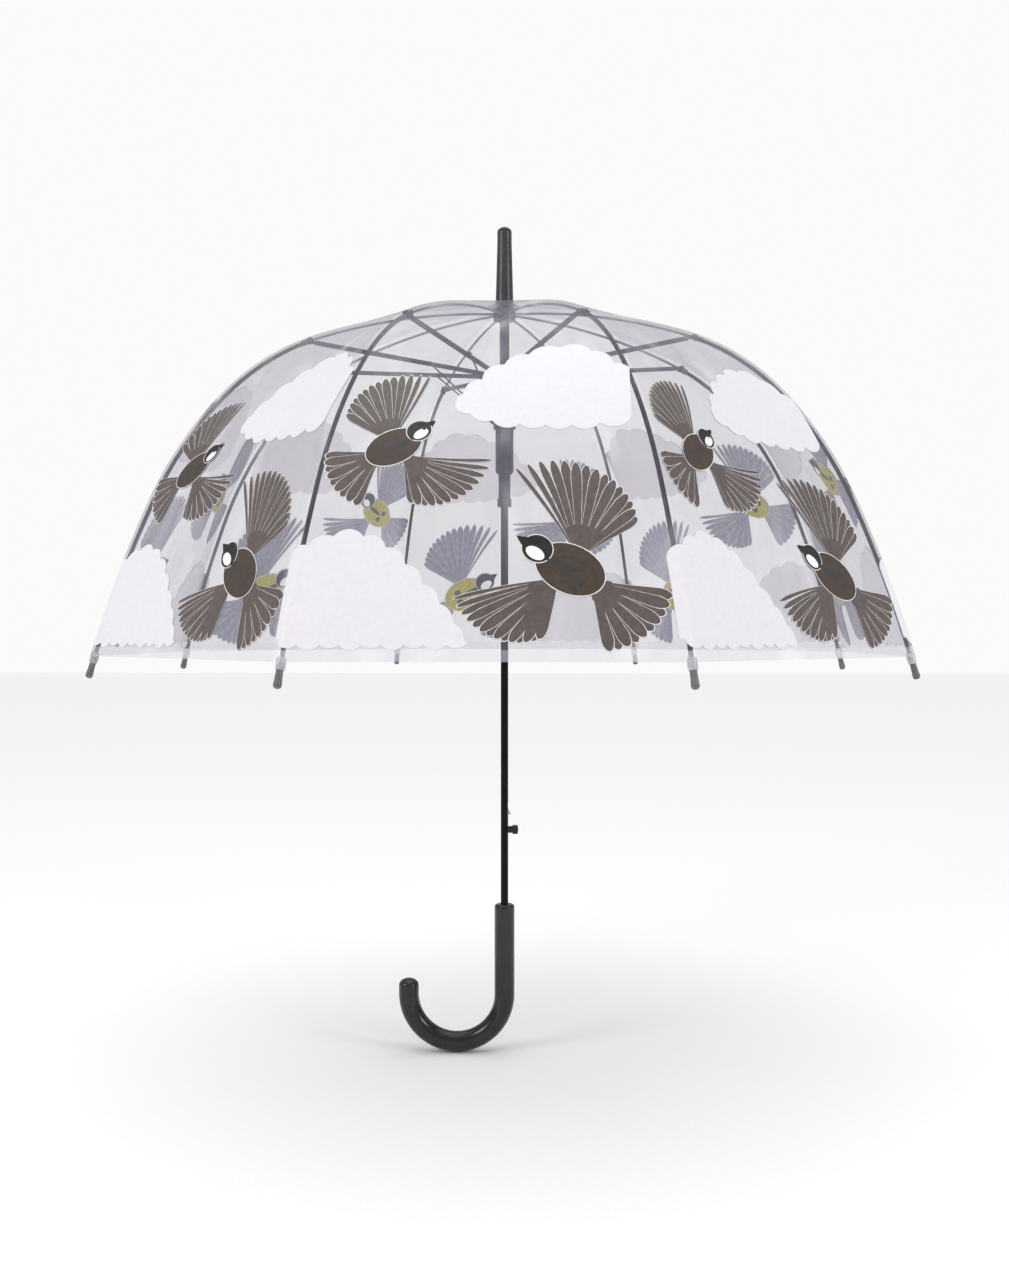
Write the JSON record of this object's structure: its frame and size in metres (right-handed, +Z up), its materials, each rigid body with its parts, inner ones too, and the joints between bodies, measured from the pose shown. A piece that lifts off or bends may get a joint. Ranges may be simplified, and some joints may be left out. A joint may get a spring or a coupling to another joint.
{
  "type": "bubble umbrella",
  "caption": "Deep-domed clear umbrella on a sliding spring-loaded frame, with a push-button catch and a crook handle.",
  "frame": {"origin": "middle of the straight grip, on the shaft's axis", "axes": "+Z up the shaft towards the ferrule, -X the way the crook opens, +X the side of the push button"},
  "size_m": [0.741, 0.741, 0.8251],
  "materials": {
    "tube": "gloss",
    "ferrule": "satin",
    "handle": "gloss",
    "fittings": "satin",
    "button": "satin",
    "runner": "gloss",
    "spring_steel": "satin",
    "strut": "satin",
    "rib_wire": "satin",
    "rib_rod": "satin",
    "tip": "satin",
    "sheet": "clear gloss"
  },
  "bodies": {
    "shaft": {"shaft": "tube", "ferrule": "ferrule", "ferrule_cap": "ferrule", "crown": "fittings", "stop_sleeve": "fittings", "handle": "handle", "gore_1": "sheet", "gore_2": "sheet", "gore_3": "sheet", "gore_4": "sheet", "gore_5": "sheet", "gore_6": "sheet", "gore_7": "sheet", "gore_8": "sheet"},
    "runner": {"runner": "runner", "opening_spring": "spring_steel"},
    "housing": {"spring_housing": "runner", "housing_cap": "runner"},
    "catch": {"catch": "spring_steel"},
    "button": {"button": "button"},
    "link_1": {"link_1": "rib_wire"},
    "rod_1": {"rib_1": "rib_rod", "tip_1": "tip"},
    "strut_1": {"strut_1": "strut"},
    "wire_1": {"wire_1": "strut"},
    "link_2": {"link_2": "rib_wire"},
    "rod_2": {"rib_2": "rib_rod", "tip_2": "tip"},
    "strut_2": {"strut_2": "strut"},
    "wire_2": {"wire_2": "strut"},
    "link_3": {"link_3": "rib_wire"},
    "rod_3": {"rib_3": "rib_rod", "tip_3": "tip"},
    "strut_3": {"strut_3": "strut"},
    "wire_3": {"wire_3": "strut"},
    "link_4": {"link_4": "rib_wire"},
    "rod_4": {"rib_4": "rib_rod", "tip_4": "tip"},
    "strut_4": {"strut_4": "strut"},
    "wire_4": {"wire_4": "strut"},
    "link_5": {"link_5": "rib_wire"},
    "rod_5": {"rib_5": "rib_rod", "tip_5": "tip"},
    "strut_5": {"strut_5": "strut"},
    "wire_5": {"wire_5": "strut"},
    "link_6": {"link_6": "rib_wire"},
    "rod_6": {"rib_6": "rib_rod", "tip_6": "tip"},
    "strut_6": {"strut_6": "strut"},
    "wire_6": {"wire_6": "strut"},
    "link_7": {"link_7": "rib_wire"},
    "rod_7": {"rib_7": "rib_rod", "tip_7": "tip"},
    "strut_7": {"strut_7": "strut"},
    "wire_7": {"wire_7": "strut"},
    "link_8": {"link_8": "rib_wire"},
    "rod_8": {"rib_8": "rib_rod", "tip_8": "tip"},
    "strut_8": {"strut_8": "strut"},
    "wire_8": {"wire_8": "strut"}
  },
  "joints": [
    {"name": "runner_slide", "type": "slide", "parent": "shaft", "child": "runner", "axis": [0, 0, -1], "range_m": [0, 0.3175], "stiffness_N_per_m": 30, "springref_m": -0.3, "deforming": ["gore_1", "gore_2", "gore_3", "gore_4", "gore_5", "gore_6", "gore_7", "gore_8"]},
    {"name": "housing_slide", "type": "slide", "parent": "runner", "child": "housing", "axis": [0, 0, 1], "range_m": [0, 0.02904], "deforming": ["opening_spring"]},
    {"name": "link_1_fold", "type": "hinge", "parent": "shaft", "child": "link_1", "pos_m": [0.00739, 0.00306, 0.634], "axis": [-0.3827, 0.9239, 0], "range_deg": [0, 70.18]},
    {"name": "rod_1_fold", "type": "hinge", "parent": "link_1", "child": "rod_1", "pos_m": [0.182, 0.07539, 0.5935], "axis": [0.3827, -0.9239, 0], "range_deg": [0, 42.18]},
    {"name": "strut_1_fold", "type": "hinge", "parent": "runner", "child": "strut_1", "pos_m": [0.00924, 0.00383, 0.5735], "axis": [0.3827, -0.9239, 0], "range_deg": [0, 76.56]},
    {"name": "wire_1_fold", "type": "hinge", "parent": "housing", "child": "wire_1", "pos_m": [0.00878, 0.00364, 0.5235], "axis": [0.3827, -0.9239, 0], "range_deg": [0, 44.21]},
    {"name": "link_2_fold", "type": "hinge", "parent": "shaft", "child": "link_2", "pos_m": [0.00306, 0.00739, 0.634], "axis": [-0.9239, 0.3827, 0], "range_deg": [0, 70.18]},
    {"name": "rod_2_fold", "type": "hinge", "parent": "link_2", "child": "rod_2", "pos_m": [0.07539, 0.182, 0.5935], "axis": [0.9239, -0.3827, 0], "range_deg": [0, 42.18]},
    {"name": "strut_2_fold", "type": "hinge", "parent": "runner", "child": "strut_2", "pos_m": [0.00383, 0.00924, 0.5735], "axis": [0.9239, -0.3827, 0], "range_deg": [0, 76.56]},
    {"name": "wire_2_fold", "type": "hinge", "parent": "housing", "child": "wire_2", "pos_m": [0.00364, 0.00878, 0.5235], "axis": [0.9239, -0.3827, 0], "range_deg": [0, 44.21]},
    {"name": "link_3_fold", "type": "hinge", "parent": "shaft", "child": "link_3", "pos_m": [-0.00306, 0.00739, 0.634], "axis": [-0.9239, -0.3827, 0], "range_deg": [0, 70.18]},
    {"name": "rod_3_fold", "type": "hinge", "parent": "link_3", "child": "rod_3", "pos_m": [-0.07539, 0.182, 0.5935], "axis": [0.9239, 0.3827, 0], "range_deg": [0, 42.18]},
    {"name": "strut_3_fold", "type": "hinge", "parent": "runner", "child": "strut_3", "pos_m": [-0.00383, 0.00924, 0.5735], "axis": [0.9239, 0.3827, 0], "range_deg": [0, 76.56]},
    {"name": "wire_3_fold", "type": "hinge", "parent": "housing", "child": "wire_3", "pos_m": [-0.00364, 0.00878, 0.5235], "axis": [0.9239, 0.3827, 0], "range_deg": [0, 44.21]},
    {"name": "link_4_fold", "type": "hinge", "parent": "shaft", "child": "link_4", "pos_m": [-0.00739, 0.00306, 0.634], "axis": [-0.3827, -0.9239, 0], "range_deg": [0, 70.18]},
    {"name": "rod_4_fold", "type": "hinge", "parent": "link_4", "child": "rod_4", "pos_m": [-0.182, 0.07539, 0.5935], "axis": [0.3827, 0.9239, 0], "range_deg": [0, 42.18]},
    {"name": "strut_4_fold", "type": "hinge", "parent": "runner", "child": "strut_4", "pos_m": [-0.00924, 0.00383, 0.5735], "axis": [0.3827, 0.9239, 0], "range_deg": [0, 76.56]},
    {"name": "wire_4_fold", "type": "hinge", "parent": "housing", "child": "wire_4", "pos_m": [-0.00878, 0.00364, 0.5235], "axis": [0.3827, 0.9239, 0], "range_deg": [0, 44.21]},
    {"name": "link_5_fold", "type": "hinge", "parent": "shaft", "child": "link_5", "pos_m": [-0.00739, -0.00306, 0.634], "axis": [0.3827, -0.9239, 0], "range_deg": [0, 70.18]},
    {"name": "rod_5_fold", "type": "hinge", "parent": "link_5", "child": "rod_5", "pos_m": [-0.182, -0.07539, 0.5935], "axis": [-0.3827, 0.9239, 0], "range_deg": [0, 42.18]},
    {"name": "strut_5_fold", "type": "hinge", "parent": "runner", "child": "strut_5", "pos_m": [-0.00924, -0.00383, 0.5735], "axis": [-0.3827, 0.9239, 0], "range_deg": [0, 76.56]},
    {"name": "wire_5_fold", "type": "hinge", "parent": "housing", "child": "wire_5", "pos_m": [-0.00878, -0.00364, 0.5235], "axis": [-0.3827, 0.9239, 0], "range_deg": [0, 44.21]},
    {"name": "link_6_fold", "type": "hinge", "parent": "shaft", "child": "link_6", "pos_m": [-0.00306, -0.00739, 0.634], "axis": [0.9239, -0.3827, 0], "range_deg": [0, 70.18]},
    {"name": "rod_6_fold", "type": "hinge", "parent": "link_6", "child": "rod_6", "pos_m": [-0.07539, -0.182, 0.5935], "axis": [-0.9239, 0.3827, 0], "range_deg": [0, 42.18]},
    {"name": "strut_6_fold", "type": "hinge", "parent": "runner", "child": "strut_6", "pos_m": [-0.00383, -0.00924, 0.5735], "axis": [-0.9239, 0.3827, 0], "range_deg": [0, 76.56]},
    {"name": "wire_6_fold", "type": "hinge", "parent": "housing", "child": "wire_6", "pos_m": [-0.00364, -0.00878, 0.5235], "axis": [-0.9239, 0.3827, 0], "range_deg": [0, 44.21]},
    {"name": "link_7_fold", "type": "hinge", "parent": "shaft", "child": "link_7", "pos_m": [0.00306, -0.00739, 0.634], "axis": [0.9239, 0.3827, 0], "range_deg": [0, 70.18]},
    {"name": "rod_7_fold", "type": "hinge", "parent": "link_7", "child": "rod_7", "pos_m": [0.07539, -0.182, 0.5935], "axis": [-0.9239, -0.3827, 0], "range_deg": [0, 42.18]},
    {"name": "strut_7_fold", "type": "hinge", "parent": "runner", "child": "strut_7", "pos_m": [0.00383, -0.00924, 0.5735], "axis": [-0.9239, -0.3827, 0], "range_deg": [0, 76.56]},
    {"name": "wire_7_fold", "type": "hinge", "parent": "housing", "child": "wire_7", "pos_m": [0.00364, -0.00878, 0.5235], "axis": [-0.9239, -0.3827, 0], "range_deg": [0, 44.21]},
    {"name": "link_8_fold", "type": "hinge", "parent": "shaft", "child": "link_8", "pos_m": [0.00739, -0.00306, 0.634], "axis": [0.3827, 0.9239, 0], "range_deg": [0, 70.18]},
    {"name": "rod_8_fold", "type": "hinge", "parent": "link_8", "child": "rod_8", "pos_m": [0.182, -0.07539, 0.5935], "axis": [-0.3827, -0.9239, 0], "range_deg": [0, 42.18]},
    {"name": "strut_8_fold", "type": "hinge", "parent": "runner", "child": "strut_8", "pos_m": [0.00924, -0.00383, 0.5735], "axis": [-0.3827, -0.9239, 0], "range_deg": [0, 76.56]},
    {"name": "wire_8_fold", "type": "hinge", "parent": "housing", "child": "wire_8", "pos_m": [0.00878, -0.00364, 0.5235], "axis": [-0.3827, -0.9239, 0], "range_deg": [0, 44.21]},
    {"name": "button_press", "type": "slide", "parent": "shaft", "child": "button", "axis": [-1, 0, 0], "range_m": [0, 0.003], "stiffness_N_per_m": 200, "springref_m": -0.002},
    {"name": "catch_tilt", "type": "hinge", "parent": "shaft", "child": "catch", "pos_m": [0.0019, 0, 0.1645], "axis": [0, 1, 0], "range_deg": [0, 5.6]}
  ],
  "couplings": [
    {"joint": "housing_slide", "follows": "runner_slide", "ratio": 0.09144},
    {"joint": "link_1_fold", "follows": "runner_slide", "rad_per_m": 3.8568},
    {"joint": "rod_1_fold", "follows": "runner_slide", "rad_per_m": 2.3179},
    {"joint": "strut_1_fold", "follows": "runner_slide", "rad_per_m": 4.2079},
    {"joint": "wire_1_fold", "follows": "runner_slide", "rad_per_m": 2.4296},
    {"joint": "link_2_fold", "follows": "runner_slide", "rad_per_m": 3.8568},
    {"joint": "rod_2_fold", "follows": "runner_slide", "rad_per_m": 2.3179},
    {"joint": "strut_2_fold", "follows": "runner_slide", "rad_per_m": 4.2079},
    {"joint": "wire_2_fold", "follows": "runner_slide", "rad_per_m": 2.4296},
    {"joint": "link_3_fold", "follows": "runner_slide", "rad_per_m": 3.8568},
    {"joint": "rod_3_fold", "follows": "runner_slide", "rad_per_m": 2.3179},
    {"joint": "strut_3_fold", "follows": "runner_slide", "rad_per_m": 4.2079},
    {"joint": "wire_3_fold", "follows": "runner_slide", "rad_per_m": 2.4296},
    {"joint": "link_4_fold", "follows": "runner_slide", "rad_per_m": 3.8568},
    {"joint": "rod_4_fold", "follows": "runner_slide", "rad_per_m": 2.3179},
    {"joint": "strut_4_fold", "follows": "runner_slide", "rad_per_m": 4.2079},
    {"joint": "wire_4_fold", "follows": "runner_slide", "rad_per_m": 2.4296},
    {"joint": "link_5_fold", "follows": "runner_slide", "rad_per_m": 3.8568},
    {"joint": "rod_5_fold", "follows": "runner_slide", "rad_per_m": 2.3179},
    {"joint": "strut_5_fold", "follows": "runner_slide", "rad_per_m": 4.2079},
    {"joint": "wire_5_fold", "follows": "runner_slide", "rad_per_m": 2.4296},
    {"joint": "link_6_fold", "follows": "runner_slide", "rad_per_m": 3.8568},
    {"joint": "rod_6_fold", "follows": "runner_slide", "rad_per_m": 2.3179},
    {"joint": "strut_6_fold", "follows": "runner_slide", "rad_per_m": 4.2079},
    {"joint": "wire_6_fold", "follows": "runner_slide", "rad_per_m": 2.4296},
    {"joint": "link_7_fold", "follows": "runner_slide", "rad_per_m": 3.8568},
    {"joint": "rod_7_fold", "follows": "runner_slide", "rad_per_m": 2.3179},
    {"joint": "strut_7_fold", "follows": "runner_slide", "rad_per_m": 4.2079},
    {"joint": "wire_7_fold", "follows": "runner_slide", "rad_per_m": 2.4296},
    {"joint": "link_8_fold", "follows": "runner_slide", "rad_per_m": 3.8568},
    {"joint": "rod_8_fold", "follows": "runner_slide", "rad_per_m": 2.3179},
    {"joint": "strut_8_fold", "follows": "runner_slide", "rad_per_m": 4.2079},
    {"joint": "wire_8_fold", "follows": "runner_slide", "rad_per_m": 2.4296},
    {"joint": "catch_tilt", "follows": "button_press", "rad_per_m": 32}
  ]
}
